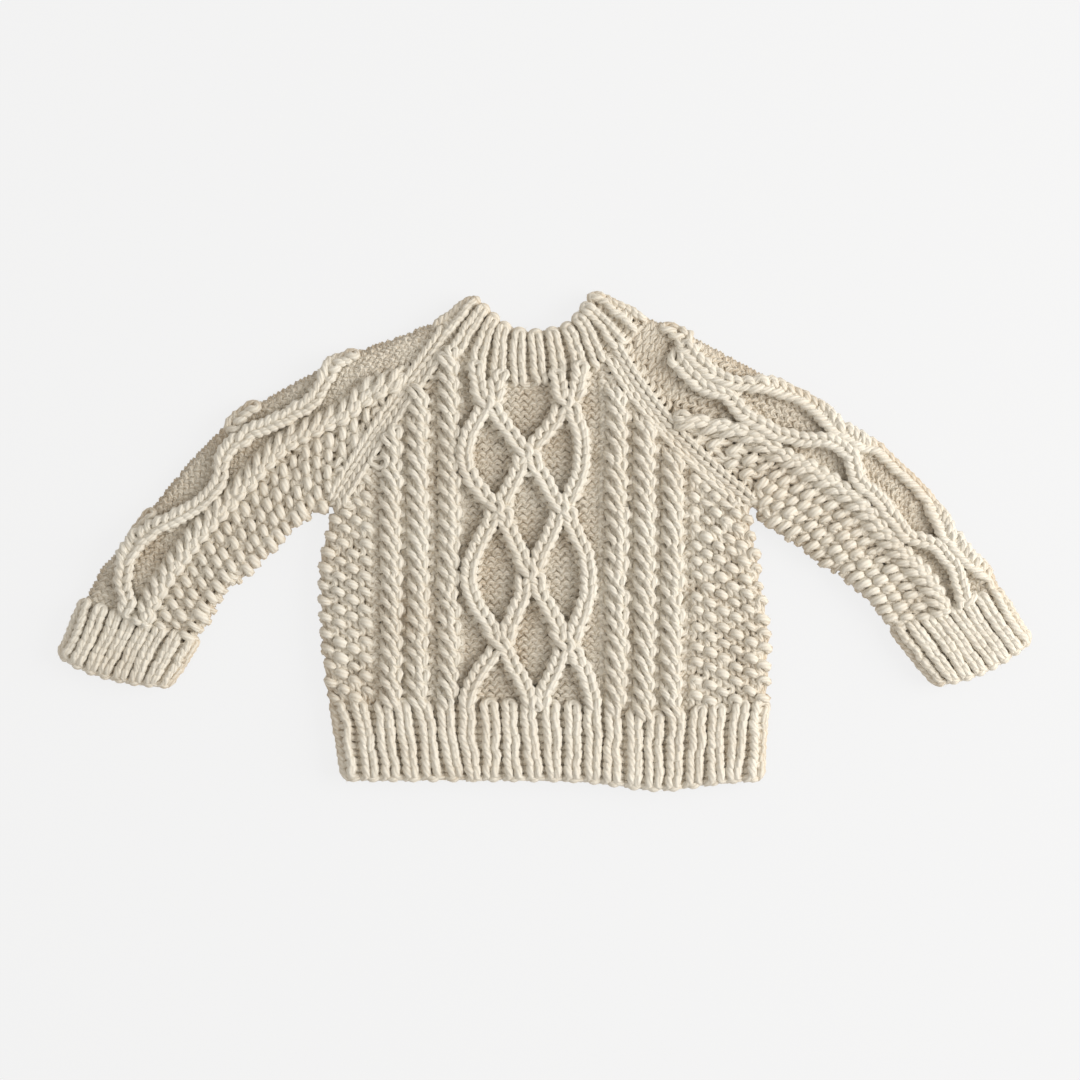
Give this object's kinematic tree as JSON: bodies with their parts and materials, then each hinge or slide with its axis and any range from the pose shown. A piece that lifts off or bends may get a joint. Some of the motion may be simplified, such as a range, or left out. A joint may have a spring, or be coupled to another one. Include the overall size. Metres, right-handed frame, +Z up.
{
  "type": "sweater",
  "caption": "Thick cable knit baby sweater laid flat: raglan sleeves, two-stitch ropes beside a travelling lattice, seed stitch at the sides, and ribbed hem, cuffs and neckband.",
  "frame": {"origin": "middle of the laid garment's bounding box, on the surface it rests on", "axes": "+X from the sleeve seen on the left to the sleeve seen on the right, +Y from the hem towards the neck, +Z up out of the front"},
  "size_m": [0.5322, 0.2726, 0.0166],
  "materials": {
    "wool": "soft matt plied wool, undyed cream"
  },
  "bodies": {
    "root": {"front": "wool", "back": "wool", "hem_front": "wool", "hem_back": "wool", "sleeve_left": "wool", "sleeve_right": "wool", "cuff_left": "wool", "cuff_right": "wool", "neckband": "wool"}
  },
  "joints": []
}
